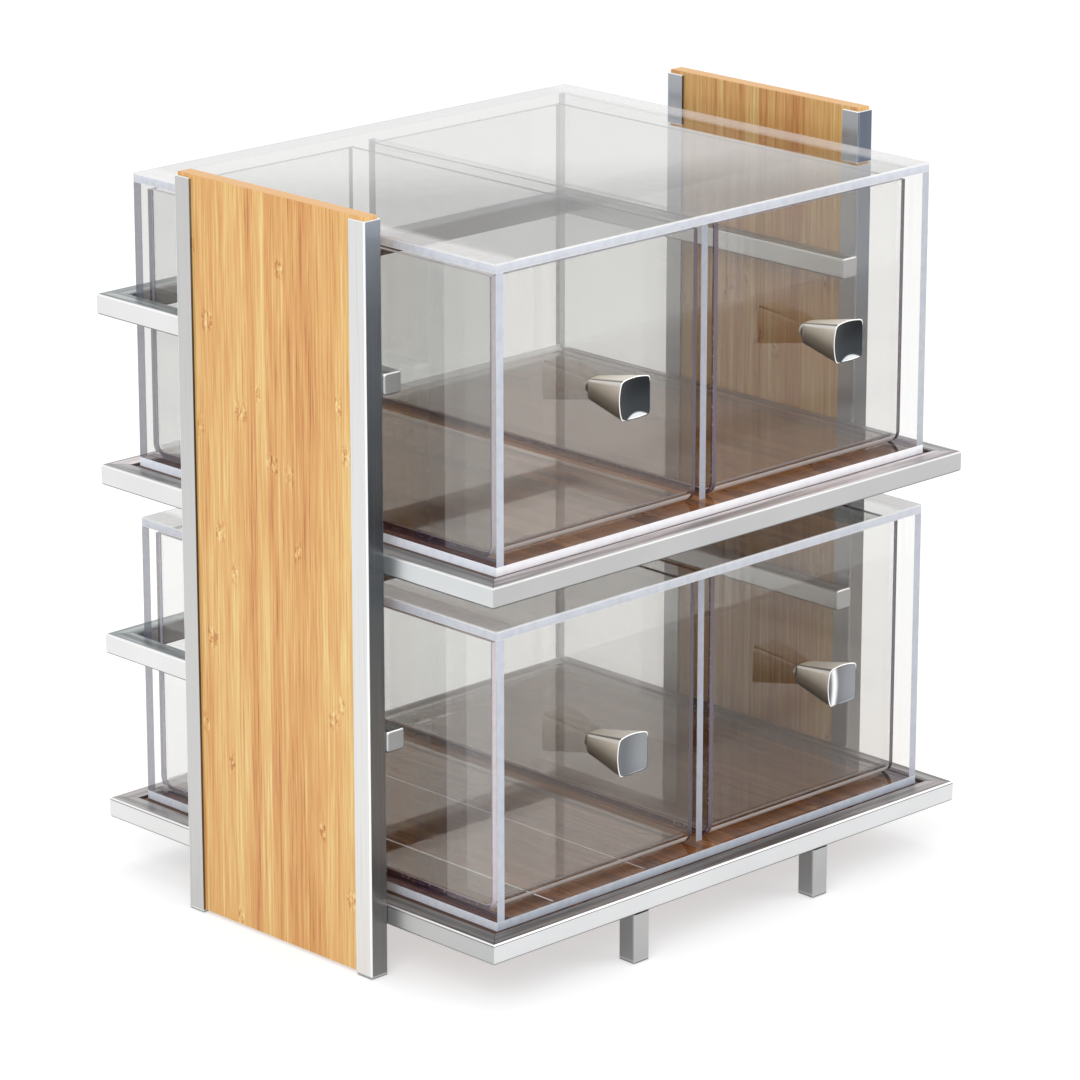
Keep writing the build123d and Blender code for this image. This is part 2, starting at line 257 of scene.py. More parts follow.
def flat_mesh(name, points, faces):
    mesh = bpy.data.meshes.new(name)
    mesh.from_pydata(points, [], faces)
    piece = bpy.data.objects.new(name, mesh)
    bpy.context.scene.collection.objects.link(piece)
    return piece


reach = FLOOR_REACH
square = [(-reach, -reach, 0), (reach, -reach, 0), (reach, reach, 0), (-reach, reach, 0)]
floor = flat_mesh("floor", square, [(0, 1, 2, 3)])
sweep = Finish("white_sweep")
plain = sweep.node("ShaderNodeBsdfDiffuse", None, {"Color": PAPER_WHITE})
paper = sweep.node("ShaderNodeBsdfDiffuse", None, {"Color": PAPER_SEEN})
glow = sweep.node("ShaderNodeEmission", None, {"Color": WHITE, "Strength": PAPER_GLOW})
lit = sweep.node("ShaderNodeAddShader", None, {0: paper, 1: glow})
floor.data.materials.append(
    sweep.surface(sweep.node("ShaderNodeMixShader", None, {0: seen_ray(sweep), 1: plain, 2: lit}))
)

world = bpy.data.worlds.new("studio")
world.use_nodes = True
bpy.context.scene.world = world
air = Finish("studio", world.node_tree)
soft = air.node("ShaderNodeBackground", None, {"Color": WHITE, "Strength": WORLD_LIGHT})
backdrop = air.node("ShaderNodeBackground", None, {"Color": WHITE, "Strength": 1.0})
air.surface(
    air.node("ShaderNodeMixShader", None, {0: seen_ray(air), 1: soft, 2: backdrop}),
    "ShaderNodeOutputWorld",
)


def softbox(name, place, aim, width, watts):
    """Square area lamp at place, its light towards aim."""
    data = bpy.data.lights.new(name, "AREA")
    data.shape, data.size, data.energy = "SQUARE", width, watts
    lamp = bpy.data.objects.new(name, data)
    gap = [a - p for a, p in zip(aim, place)]
    across = math.hypot(gap[0], gap[1])
    lamp.location = place
    lamp.rotation_euler = (math.atan2(across, -gap[2]), 0.0, math.atan2(-gap[0], gap[1]))
    bpy.context.scene.collection.objects.link(lamp)
    return lamp


MIDDLE = (0.0, 0.0, 0.22)
softbox("key", (-1.9, -1.3, 1.9), MIDDLE, 1.4, 25.0)
softbox("fill", (1.5, -2.0, 1.3), MIDDLE, 1.6, 12.0)
softbox("overhead", (0.2, 0.5, 2.6), MIDDLE, 1.8, 15.0)

# %% [markdown]
# ## Satin steel
# The tubes are stainless steel with a fine satin finish. The finish is a field of hair-thin
# scratches that all run along the tube, so noise that is stretched a hundred times along one
# axis stands for it. It moves the roughness a little and raises a relief of a few microns. A
# scanned texture of brushed metal would do too, but noise has no seams and no fixed scale.

# %% Steel finish
# marks per metre: across and along a scratch, across and along a painted sheen streak
# of a polished top
SCRATCHES, SCRATCH_RUN, SHEEN_BANDS, SHEEN_RUN, CLOUDS = 1400.0, 9.0, 190.0, 8.0, 14.0
SHEEN_GAIN, MITRE_LINE, MARK_TINT = 2.3, (0.15 * MM, 0.45 * MM), (0.78, 0.78, 0.78, 1)
GLINT_START, GLINT_START_SHOULDER, GLINT_BLEND = 0.10, 0.34, 0.14


def grey(level, warmth=0.0):
    """Linear grey, a little warmer or cooler."""
    return (level * (1 + warmth), level, level * (1 - warmth), 1.0)


# a painted highlight for the glint, painted shade for the dark lines and the underside
STEEL_GLINT, STEEL_PAINTED_DARK, STEEL_UNDER_SHADE = grey(0.95), (0.12, 0.105, 0.11, 1), grey(0.10)
MITRE_COLOUR, SIDE_BACK_REFLECTION, SIDE_TURN = (0.05, 0.045, 0.05, 1), grey(0.77), (-0.10, 0.12)


def outward(finish, facing):
    """1 where a surface looks away from the middle of the bin: x * nx + y * ny > 0."""
    x, y, _ = finish.place()
    return (x * facing[0] + y * facing[1]).over(0.0)


def satin_steel(name, along, front, side, top, tray=False, shoulder=False, glint=None):
    """Scratched along axis 0, 1 or 2, with linear greys for its front, its sides and its top.

    The greys are painted reflections, paler on the sides towards the back, with painted sheen
    streaks on the top. A painted highlight lies along the rounded top corner on the outside, and
    the underside is painted dark as shade. With a shoulder there is one more painted dark line,
    just below that bright corner, and on a tray the inner faces are painted dark as shade.
    """
    steel = Finish(name)
    axes = steel.place()
    facing = steel.facing()
    up = facing[2]

    def stretched(run, across):
        """Noise with this many marks per metre along the tube and across it."""
        scaled = [axis * (run if i == along else across) for i, axis in enumerate(axes)]
        return steel.noise(steel.point(*scaled), 1.0, 3.0, 0.6)

    scratch = stretched(SCRATCH_RUN, SCRATCHES)
    cloud = steel.noise(steel.point(*axes), CLOUDS, 2.0)
    # painted reflections: a grey for each way a face looks, the sides paler towards the back
    side = steel.mix(axes[1].step(*SIDE_TURN), side, SIDE_BACK_REFLECTION)
    colour = steel.mix(facing[1].size().step(0.4, 0.8), side, front)
    # painted shade: a dark underside
    colour = steel.mix(1.0 - up.step(-0.6, -0.2), colour, STEEL_UNDER_SHADE)
    outer = outward(steel, facing)
    start = GLINT_START
    if shoulder:
        start = GLINT_START_SHOULDER
        # painted shade: a dark line just below the bright corner
        line = up.step(0.03, 0.10) * (1.0 - up.step(0.28, 0.36))
        colour = steel.mix(line * outer * 0.8, colour, STEEL_PAINTED_DARK)
    # painted highlight along the rounded top corner on the outside
    lit = up.step(start, start + GLINT_BLEND) * outer
    colour = steel.mix(lit, colour, glint or STEEL_GLINT)
    # painted sheen: streaks of reflection on the top
    bright_top = tuple(c * SHEEN_GAIN for c in top[:3]) + (1,)
    sheen = stretched(SHEEN_RUN, SHEEN_BANDS)
    top_colour = steel.mix(sheen.step(0.36, 0.66), top, bright_top)
    if tray:
        # bars meet in a mitre: as far from the tray's end as from its side
        across_end = axes[0].size() - TRAY_CORNER[0]
        across_side = (axes[1] - TRAY_MIDDLE).size() - TRAY_CORNER[1]
        mitre = 1.0 - (across_end - across_side).size().step(*MITRE_LINE)
        top_colour = steel.mix(mitre * 0.8, top_colour, MITRE_COLOUR)
    level = up.step(0.74, 0.86)
    colour = steel.mix(level, colour, top_colour)
    if tray:
        # painted shade on a tray's inner faces
        colour = steel.mix((1.0 - outer) * (1.0 - level), colour, STEEL_PAINTED_DARK)
    marks = scratch.step(0.55, 0.8) * 0.25 + cloud.step(0.3, 0.7) * 0.3
    colour = steel.mix(marks, colour, MARK_TINT, "MULTIPLY")
    return steel.surface(
        steel.principled(
            Base_Color=colour,
            Metallic=1.0,
            Roughness=0.28 + scratch * 0.12 + cloud * 0.05,
            Normal=steel.bump(scratch, 0.000012),
        )
    )


print("steel scratches per metre:", SCRATCHES)

# %% [markdown]
# ## Trays, rails and legs
# Polished tube takes its tones from the room: a bar's front, side and top each mirror another
# part of it. A room of pale and dark cards round the bin would give that, but one bar couldn't
# be tuned then without changing the others. So each kind of bar has a painted grey, a painted
# reflection, for each way that a face looks, and each tray, the rails and the legs get their
# own. On the mitred trays, a dark line marks where two bars meet.

# %% Tray, rail and leg steel
# painted reflections: the tops' greys, the upper tray's paler than the lower's
TRAY_TOPS = {
    "lower": [(0.22, 0.205, 0.20, 1), (0.21, 0.20, 0.20, 1)],
    "upper": [(0.34, 0.31, 0.315, 1), (0.23, 0.225, 0.23, 1)],
}
tray_low, tray_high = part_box("lower_tray_front_bar")[0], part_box("lower_tray_back_bar")[1]
TRAY_MIDDLE = (tray_low.y + tray_high.y) / 2
TRAY_CORNER = (tray_high.x, (tray_high.y - tray_low.y) / 2)
# painted reflection greys for front and side, and the painted glints of the bars along x
# and along y
TRAY_LOOKS = (
    ("lower", grey(0.72, -0.01), (0.48, 0.495, 0.50, 1), (STEEL_GLINT, STEEL_GLINT)),
    ("upper", grey(0.49), (0.66, 0.68, 0.69, 1), (grey(0.58), STEEL_GLINT)),
)
# painted reflection: a dark grey on the rails' tops
RAIL_TOP = (0.20, 0.215, 0.22, 1)
tray_steel = {}
for tier, front, side, glints in TRAY_LOOKS:
    tray_steel[tier] = [
        satin_steel(
            f"{tier}_tray_{axis}", i, front, side, TRAY_TOPS[tier][i],
            tray=True, shoulder=tier == "lower", glint=glints[i],
        )
        for i, axis in enumerate("xy")
    ]
rail_steel = [
    satin_steel("rail_" + axis, i, grey(0.36), grey(0.80), RAIL_TOP) for i, axis in enumerate("xy")
]
# painted reflection and shade: the legs' sides darker than their fronts
leg_steel = satin_steel("legs", 2, grey(0.47), grey(0.28), grey(0.6))
foot_steel = satin_steel("feet", 2, grey(0.5), grey(0.4), grey(0.5))
print("tray corner:", [round(v, 4) for v in TRAY_CORNER])

# %% [markdown]
# ## Posts
# A post is a square channel that is open towards its board. Its web, to the front or the back,
# mirrors the darkest part of the room, most of all half-way up, and its flanges are pale. Since
# every post shows the same change over its height, a ramp along z gives it, and it stays put
# when the view turns, as paint would. That is less true than a mirror but easy to tune.

# %% Post steel
POST_TOP = 0.438
POST_WEB = [
    (0.00, (0.21, 0.21, 0.21)),
    (0.13, (0.19, 0.18, 0.175)),
    (0.30, (0.14, 0.128, 0.118)),
    (0.52, (0.105, 0.113, 0.120)),
    (0.72, (0.100, 0.105, 0.115)),
    (0.88, (0.155, 0.170, 0.195)),
    (1.00, (0.29, 0.315, 0.36)),
]
# painted reflections and shade for the right webs and the flanges, painted highlights on edges
POST_WEB_RIGHT, RIGHT_START = (0.125, 0.145, 0.185, 1), (0.30, 0.36)
FLANGE_FRONT, FLANGE_BACK = (0.70, 0.705, 0.70, 1), (0.55, 0.55, 0.545, 1)
FLANGE_INSIDE, POST_HIGHLIGHT = (0.46, 0.48, 0.51, 1), (0.95, 0.96, 0.97, 1)
POST_SCRATCH = (0.30, 0.30, 0.31, 1)


def post_steel():
    """Brushed along z, with painted reflections: flanges are pale, webs blue-grey and darkest
    half-way up, and painted highlights make the ends and outer corners white.
    """
    steel = Finish("post_steel")
    x, y, z = steel.place()
    hair = steel.point(x * SCRATCHES, y * SCRATCHES, z * SCRATCH_RUN)
    scratch = steel.noise(hair, 1.0, 3.0, 0.6)
    web = steel.node("ShaderNodeValToRGB", {"stops": POST_WEB}, {0: z * (1 / POST_TOP)})
    facing = steel.facing()
    # painted reflection: the right-hand posts' webs turn bluer high up
    web = steel.mix(x.over(0.0) * z.step(*RIGHT_START), web, POST_WEB_RIGHT)
    outer = outward(steel, facing)
    # painted reflection and shade: flanges paler at the front, darker on the inside
    flange = steel.mix(y.step(-0.05, 0.05), FLANGE_FRONT, FLANGE_BACK)
    flange = steel.mix(outer, FLANGE_INSIDE, flange)
    colour = steel.mix(facing[1].size().step(0.5, 0.85), flange, web)
    colour = steel.mix(scratch.step(0.5, 0.8) * 0.3, colour, POST_SCRATCH)
    # painted highlights on the outer corners and the ends
    corner = (facing[0] * facing[1]).size().step(0.20, 0.40) * outer
    edge = corner.larger(facing[2].step(0.3, 0.6))
    colour = steel.mix(edge * 0.9, colour, POST_HIGHLIGHT)
    return steel.surface(
        steel.principled(
            Base_Color=colour,
            Metallic=1.0,
            Roughness=0.27 + scratch * 0.12,
            Normal=steel.bump(scratch, 0.000010),
        )
    )


posts = post_steel()
print("stops up a post's web:", len(POST_WEB))

# %% [markdown]
# ## Dressing the steel
# The exact pieces already have the right shape and one material slot each, so a finish is only
# put into that slot. Bars that run along x and along y need their own, since the scratches
# follow the bar.

# %% Dress the steel
def dress(name, material):
    """Puts a finish into a node's own material slot."""
    nodes[name].material_slots[0].material = material


for tier in TIERS:
    for bar in ("front", "back", "left", "right"):
        along = 1 if bar in SIDES else 0
        dress(f"{tier}_tray_{bar}_bar", tray_steel[tier][along])
        if bar != "front":
            dress(f"{tier}_rail_{bar}_bar", rail_steel[along])
for end in ("front", "back"):
    for side in SIDES:
        dress(f"{end}_{side}_post", posts)
dress("centre_legs", leg_steel)
for name in ("leg_feet", "post_feet"):
    dress(name, foot_steel)
dress("rail_end_caps", rail_steel[1])
dress("floor_ledges", tray_steel["lower"][0])
print("steel nodes dressed")

# %% [markdown]
# ## Bamboo
# The boards are laminated from bamboo strips about 7 mm wide that stand side by side. Each
# strip has its own tone, fine fibres along it, and nodes 16 to 26 cm apart, not all of which
# show: a short darker patch where the fibres swirl. A strip is a whole number,
# floor(across / width), and that number seeds its tone and the height of its nodes. Strips
# could be modelled one by one, but their joints are flush, so colour alone tells them apart.

# %% Bamboo finish
STRIP_WIDTH, STRIP_WANDER, WANDERS = 0.0068, 2.4, 75.0
NODE_GAP, NODE_GAP_SPREAD, NODE_HALF = 0.16, 0.10, (0.001, 0.009)
SWIRLS, SWIRL_BEND = 520.0, 0.0040
WOOD_SHADE = (0.12, 0.11, 0.12, 1)


def bamboo(name, along, across, stops, shade):
    """Strips side by side on one axis, fibres along another; stops are the tones from dark to pale.

    shade(finish) gives how much of the light reaches a point.
    """
    wood = Finish(name)
    axes = wood.place()
    depth = 3 - along - across
    run, side, thick = axes[along], axes[across], axes[depth]
    wander = wood.noise(wood.point(side, 0.0, 0.0), WANDERS, 0.0)
    strip = side / STRIP_WIDTH + wander * STRIP_WANDER
    number = strip.floor()
    tone, second = wood.chance(number), wood.chance(number + 71.3)
    # a node: where the height, counted in node spacings, passes a whole number plus a half
    spacing = NODE_GAP + second * NODE_GAP_SPREAD
    height = run / spacing + tone * 7.0
    to_node = (height - height.floor() - 0.5).size() * spacing
    shown = wood.chance(height.floor() * 13.7 + number * 3.1).over(0.5)
    patch = (1.0 - to_node.step(*NODE_HALF)) * shown
    swirl_point = wood.point(side * SWIRLS, run * (SWIRLS / 2), thick * SWIRLS)
    swirl = wood.noise(swirl_point, 1.0, 2.5, 0.6)
    line = side + (swirl - 0.5) * patch * SWIRL_BEND

    def streaks(width, length, detail):
        """Noise whose marks are about this wide and long, in metres."""
        point = wood.point(line / width, run / length, thick / width)
        return wood.noise(point, 1.0, detail, 0.6) - 0.5

    fine = streaks(0.00062, 0.030, 3.0)
    value = 0.5 + (tone - 0.5) * 0.34 + streaks(0.0065, 0.30, 1.0) * 0.50
    value = value + streaks(0.0015, 0.075, 3.0) * 1.30 + fine * 0.75
    value = value - patch * swirl.step(0.50, 0.62) * 0.45
    value = value + patch * (1.0 - swirl.step(0.36, 0.47)) * 0.35
    edge = (strip - number - 0.5).size().step(0.44, 0.5)
    value = value - edge * 0.10 * (second * 2.0 - 0.6)
    colour = wood.node("ShaderNodeValToRGB", {"stops": stops}, {0: value})
    # the sawn ends show the fibres as dots
    end_grain = wood.facing()[along].size().step(0.7, 0.9)
    dots = wood.noise(wood.point(*axes), 1500.0, 1.0)
    ends = wood.mix(dots.step(0.45, 0.7) * 0.6, stops[2][1] + (1,), stops[1][1] + (1,))
    colour = wood.mix(end_grain, colour, ends)
    colour = wood.mix(1.0 - shade(wood), colour, WOOD_SHADE, "MULTIPLY")
    return wood.surface(
        wood.principled(
            Base_Color=colour,
            Roughness=0.42 + fine * 0.2,
            Coat_Weight=0.10,
            Coat_Roughness=0.25,
            Normal=wood.bump(fine * 0.7 - edge * 0.3, 0.00003),
        )
    )


# %% [markdown]
# ## Boards and slats
# The boards are pale, and the floors' slats are a darker bamboo that is also in shade: hardly
# any light reaches them under a case's edge or beside it. The lamps alone leave those gaps too
# bright, because clear sheet hardly casts a shadow, so the shade is written into the colour.

# %% Dress the bamboo
def tones(*colours):
    """Evenly spaced stops from screen colours."""
    return [(i / (len(colours) - 1), srgb(*colour)[:3]) for i, colour in enumerate(colours)]


BOARD_TONES = tones(
    (182, 110, 52), (219, 154, 88), (234, 180, 108), (244, 206, 134), (253, 231, 170)
)
SLAT_TONES = tones((96, 48, 18), (150, 86, 38), (180, 110, 52), (206, 140, 74), (226, 170, 104))
INNER_SHADE, TOP_SHADE = 0.22, 0.12
SLAT_DARK, DARK_ENDS, DARK_FRONT = 0.95, 6 * MM, 3 * MM


def board_shade(inner):
    """Less light on the inside face, which looks along inner * x, and on the top."""
    def shade(wood):
        on_inside = (wood.facing()[0] * inner).over(0.5)
        return 1.0 - on_inside * INNER_SHADE - wood.facing()[2].over(0.5) * TOP_SHADE
    return shade


def slat_shade(low, high):
    """Slats are dark under the edge of the case that stands on them, and outside it."""
    def shade(wood):
        x, y, _ = wood.place()
        over_x = (x - (low.x + high.x) / 2).size().over((high.x - low.x) / 2 - DARK_ENDS)
        over_y = (y - (low.y + high.y) / 2).size().over((high.y - low.y) / 2 - DARK_FRONT)
        return 1.0 - over_x.larger(over_y) * SLAT_DARK
    return shade


slats = bamboo("bamboo_slat", 1, 0, SLAT_TONES, slat_shade(*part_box("lower_case_bottom")))
for side, inner in (("left", 1), ("right", -1)):
    dress(side + "_side_panel", bamboo(side + "_board", 2, 1, BOARD_TONES, board_shade(inner)))
for tier in TIERS:
    dress(tier + "_floor_slats", slats)
print("bamboo nodes dressed")

# %% [markdown]
# ## Clear acrylic
# Clear sheet shows what is behind it, a little darkened, and mirrors more and more as it is
# seen edge-on. Schlick's sum says how much: m = 0.04 + 0.96 * (1 - cos a) ** 5. The polished
# edges pipe light from the whole sheet, so they look bright and milky; here that light is
# painted into their colour, with a weak painted glow on some. One refracting shader would give
# all this by itself, but a view passes through a dozen faces, and so many bends come out dark
# and grainy. So a sheet is plain clear with a mirror mixed over it.

# %% Clear sheet finish
# FAR_COLOUR is painted shade on far edges seen from inside
HEAD_ON, FAR_KEPT, FAR_COLOUR = 0.04, 0.10, (0.26, 0.28, 0.38, 1)
# bevel lines: a painted highlight from outside, painted shade from inside
BEVEL_LINE, BEVEL_LINE_INSIDE, BEVEL_ALPHA = (0.95, 0.95, 0.96, 1), (0.46, 0.46, 0.48, 1), 0.75
CLEAR, PLAIN_SHINE, STREAK_TINT = (1, 1, 1, 1), (0.88, 0.88, 0.88, 1), (0.76, 0.76, 0.78, 1)


def clear_sheet(
    name, tint, edge_rule, edge_look, edge_alpha,
    far=FAR_KEPT, far_colour=FAR_COLOUR, shine=None, grazing=5.0, glow=0.0,
):
    """Clear faces, with milky ones where edge_rule(finish) is 1, coloured by edge_look(finish).

    A ray bends steeply into a sheet, so what a pane does to it is all done where it goes in:
    both faces' mirroring, 2m / (1 + m), and both faces' tint. The milky edges' colour is painted
    light, and glow adds a painted emission. From inside the sheet its faces are plain clear and
    its edges are far_colour, far of it, a painted shade. Bevels draw a thin line: a painted
    highlight from outside and painted shade from inside.
    """
    sheet = Finish(name)
    inside = sheet.node("ShaderNodeNewGeometry", output="Backfacing")
    edge_on = sheet.node("ShaderNodeLayerWeight", None, {"Blend": 0.5}, "Facing")
    one_face = HEAD_ON + (1.0 - HEAD_ON) * (edge_on ** grazing)
    mirror_share = 2.0 * one_face / (1.0 + one_face) * (1.0 - inside)
    going_in = sheet.node("ShaderNodeBsdfTransparent", None, {"Color": tint})
    coming_out = sheet.node("ShaderNodeBsdfTransparent", None, {"Color": CLEAR})
    through = sheet.node("ShaderNodeMixShader", None, {0: inside, 1: going_in, 2: coming_out})
    scuff = sheet.noise(sheet.point(*sheet.place()), 40.0, 3.0)
    mirror = sheet.principled(
        Base_Color=shine(sheet) if shine else PLAIN_SHINE,
        Metallic=1.0,
        Roughness=0.02 + scuff.step(0.45, 0.8) * 0.05,
    )
    pane = sheet.node("ShaderNodeMixShader", None, {0: mirror_share, 1: through, 2: mirror})
    facing = sheet.facing()
    widest = facing[0].size().larger(facing[1].size()).larger(facing[2].size())
    hidden = inside * facing[2].over(0.3)
    bevel = (1.0 - widest.over(0.94)) * (1.0 - edge_rule(sheet)) * (1.0 - hidden)
    far = far(sheet) if callable(far) else far
    kept = edge_alpha * (1.0 - inside * (1.0 - far))
    streak = sheet.noise(sheet.point(*[axis * 220.0 for axis in sheet.place()]), 1.0, 2.0)
    # painted light: the milky edges' colour, and far_colour from inside
    milky = sheet.mix(inside, edge_look(sheet), far_colour)
    milky = sheet.mix(streak.step(0.35, 0.75) * 0.4, milky, STREAK_TINT, "MULTIPLY")
    # painted highlight and painted shade along the bevels
    line_colour = sheet.mix(inside, BEVEL_LINE, BEVEL_LINE_INSIDE)
    # glow: a painted emission on the edges
    rim = sheet.principled(
        Base_Color=sheet.mix(bevel, milky, line_colour),
        Emission_Color=milky,
        Emission_Strength=glow,
        Roughness=0.2,
        Alpha=kept * (1.0 - bevel) + bevel * BEVEL_ALPHA,
    )
    marked = edge_rule(sheet).larger(bevel)
    return sheet.surface(sheet.node("ShaderNodeMixShader", None, {0: marked, 1: pane, 2: rim}))


print("a sheet mirrors, seen head-on:", HEAD_ON)

# %% [markdown]
# ## Edges and what they look like
# Each sheet is one solid, so its edges and its faces share a material, and a rule tells them
# apart by the way a surface looks or by its height: a lid's edges are the faces that don't look
# up or down. A look is the colour that goes on them. Separate materials on separate faces
# would do as well, but would have to be set face by face on every sheet.

# %% Edge rules and looks
def not_along(axis):
    """Rule: the faces that don't look along the axis are edges."""
    return lambda sheet: 1.0 - sheet.facing()[axis].size().over(0.5)


def along_only(axis):
    """Rule: the faces that look along the axis are edges."""
    return lambda sheet: sheet.facing()[axis].size().over(0.5)


def above(height):
    """Rule: the faces at this height are edges."""
    return lambda sheet: sheet.place()[2].over(height)


def even(*colour):
    """Look: one screen colour."""
    return lambda sheet: srgb(*colour)


def layered(low, high, *stops):
    """Look: (height share, screen colour) stops from the bottom of the sheet to its top."""
    ramp = [(place, srgb(*colour)[:3]) for place, colour in stops]
    return lambda sheet: sheet.node(
        "ShaderNodeValToRGB", {"stops": ramp}, {0: (sheet.place()[2] - low.z) / (high.z - low.z)}
    )


# painted reflections: the tones a lid's mirror shows
VEIL_FRONT, VEIL_BACK = (0.34, 0.34, 0.335, 1), (0.80, 0.80, 0.795, 1)


def veil(sheet):
    """Tint of a lid's real mirror, a painted reflection: grey to the front left, white to the back
    right.
    """
    x, y, _ = sheet.place()
    return sheet.mix((x * 0.6 + y * 0.8).step(-0.090, 0.040), VEIL_FRONT, VEIL_BACK)


def dim(level):
    """Tint of a floor's real mirror, a painted reflection: darker and a little warmer than the
    room.
    """
    return lambda sheet: (level * 1.06, level, level * 0.95, 1)


def far_back(share):
    """How much colour the back edge keeps from inside, where its direction is turned to -y."""
    return lambda sheet: (0.0 - sheet.facing()[1]).over(0.7) * (share - FAR_KEPT) + FAR_KEPT


print("edge rules and looks ready")

# %% [markdown]
# ## Lids and bases
# The walls of a case are glued to its lid and its base. The glue line shows through the lid as
# a pale haze along its ends and through the base as a dark plum strip, and the edges carry
# painted light, layered grey below and white above. A ramp up the thickness and two strips by
# distance from the middle are enough for that, without any new shapes.

# %% Lid and base looks
# painted light: the edges' layers of grey and white, the upper base's edges paler than the lower's
# (share of the sheet's thickness, screen colour)
LID_EDGE = (
    (0.0, (226, 226, 232)), (0.15, (208, 212, 220)), (0.75, (214, 218, 228)),
    (0.92, (250, 250, 252)),
)
BASE_EDGE = {
    "lower": (
        (0.0, (128, 126, 134)), (0.14, (202, 211, 224)), (0.80, (206, 216, 230)),
        (0.95, (226, 230, 238)),
    ),
    "upper": (
        (0.0, (190, 186, 192)), (0.18, (250, 250, 255)), (0.85, (252, 252, 255)),
        (0.95, (255, 255, 255)),
    ),
}
WALL_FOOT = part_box("lower_case_right_wall")[0].x - 5.4 * MM
HAZE_START, HAZE = (0.152, 0.162), 0.45


def lid_edges(sheet):
    """Rule: a lid's sides, and a hazy strip on its top along either end, by the glued walls."""
    haze = sheet.place()[0].size().step(*HAZE_START) * HAZE * sheet.facing()[2].over(0.5)
    return not_along(2)(sheet).larger(haze)


def lid_look(low, high):
    """Look: painted light in layers of grey and white up the sides, a pale haze on the top."""
    return lambda sheet: sheet.mix(
        sheet.facing()[2].over(0.5), layered(low, high, *LID_EDGE)(sheet), srgb(238, 234, 234)
    )


def base_edges(sheet):
    """Rule: a base's sides, and the strips of its top where the glued walls stand."""
    strip = sheet.place()[0].size().over(WALL_FOOT) * sheet.facing()[2].over(0.5)
    return not_along(2)(sheet).larger(strip)


def base_look(low, high, stops):
    """Look: painted light, grey to white up the front side and white on the left and right.

    Plum under the walls.
    """
    def look(sheet):
        facing = sheet.facing()
        front = layered(low, high, *stops)(sheet)
        sides = sheet.mix(facing[0].size().over(0.6), front, srgb(240, 245, 255))
        return sheet.mix(facing[2].over(0.5), sides, srgb(74, 46, 64))
    return look


print("glued walls start at x =", round(WALL_FOOT, 4))

# %% [markdown]
# ## Dressing the clear sheets
# The cases are a little greyer than the drawers, and the lids greyer still. Of the drawers'
# flat sides, the outermost on the left has edges painted pale and the others edges painted
# dark, as painted reflections; the walls' edges have painted greys too, and the left walls are
# tinted paler in the lower case and darker in the upper, painted light and shade. One clear
# material for all would be shorter, but then no sheet could differ. A line of sight through
# both cases crosses dozens of clear faces, so the renderer is allowed forty.

# %% Dress the clear sheets
CASE_TINT, DRAWER_TINT = (0.915, 0.915, 0.909, 1), (0.925, 0.925, 0.919, 1)
LID_TINT = (0.825, 0.825, 0.815, 1)
# painted light: a grey for each wall's edges
WALL_EDGES = {
    "left_wall": even(206, 212, 224),
    "divider": even(178, 182, 194),
    "right_wall": even(192, 196, 206),
}
# painted light and shade: the left walls tinted paler in the lower case, darker in the upper
LEFT_WALL_TINT = {"lower": (0.975, 0.975, 0.97, 1), "upper": (0.72, 0.725, 0.715, 1)}
# painted reflections: pale edges on the outermost left flank, dark ones on the rest
FLANK_EDGES = {
    ("left", "left"): (even(222, 208, 216), 0.9),
    ("left", "right"): (even(92, 82, 92), 0.95),
    ("right", "left"): (even(108, 93, 104), 0.95),
    ("right", "right"): (even(92, 82, 92), 0.95),
}
FLANK_FAR = (0.10, 0.09, 0.11, 1)
# LID_GLOW and BASE_GLOW are painted glow on the edges; the upper bases' edges glow more
BACK_KEPT, LID_GLOW, BASE_GLOW = 0.8, 0.06, {"lower": 0.0, "upper": 0.22}
flanks = {}
for key, (look, alpha) in FLANK_EDGES.items():
    name = "drawer_flank_%s_%s" % key
    flanks[key] = clear_sheet(
        name, DRAWER_TINT, not_along(0), look, alpha, far_back(BACK_KEPT), FLANK_FAR
    )
for tier in TIERS:
    case = tier + "_case_"
    look = lid_look(*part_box(case + "top"))
    lid = clear_sheet(
        case + "top", LID_TINT, lid_edges, look, 0.95, shine=veil, grazing=4.0, glow=LID_GLOW
    )
    dress(case + "top", lid)
    look, glow = base_look(*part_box(case + "bottom"), BASE_EDGE[tier]), BASE_GLOW[tier]
    base = clear_sheet(
        case + "bottom", CASE_TINT, base_edges, look, 0.97, shine=dim(0.55), glow=glow
    )
    dress(case + "bottom", base)
    for part, look in WALL_EDGES.items():
        tint = LEFT_WALL_TINT[tier] if part == "left_wall" else CASE_TINT
        wall = clear_sheet(case + part, tint, along_only(1), look, 0.95, far_back(BACK_KEPT))
        dress(case + part, wall)
    for side in SIDES:
        drawer = f"{tier}_{side}_drawer_"
        rim_rule = above(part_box(drawer + "bent_sheet")[1].z - 0.1 * MM)
        rim_look = even(150, 148, 160)
        bent = clear_sheet(drawer + "bent", DRAWER_TINT, rim_rule, rim_look, 0.85, shine=dim(0.76))
        dress(drawer + "bent_sheet", bent)
        for edge in SIDES:
            dress(f"{drawer}{edge}_side", flanks[side, edge])
CLEAR_FACES = 40
bpy.context.scene.cycles.transparent_max_bounces = CLEAR_FACES
print("clear nodes dressed")

# %% [markdown]
# ## One builder for swept shapes
# A knob and a glued edge are both a ring of points that is carried along a path and changes on
# the way. skin() takes all the rings as one array and joins each to the next, so every new
# piece below is only a formula for its rings.

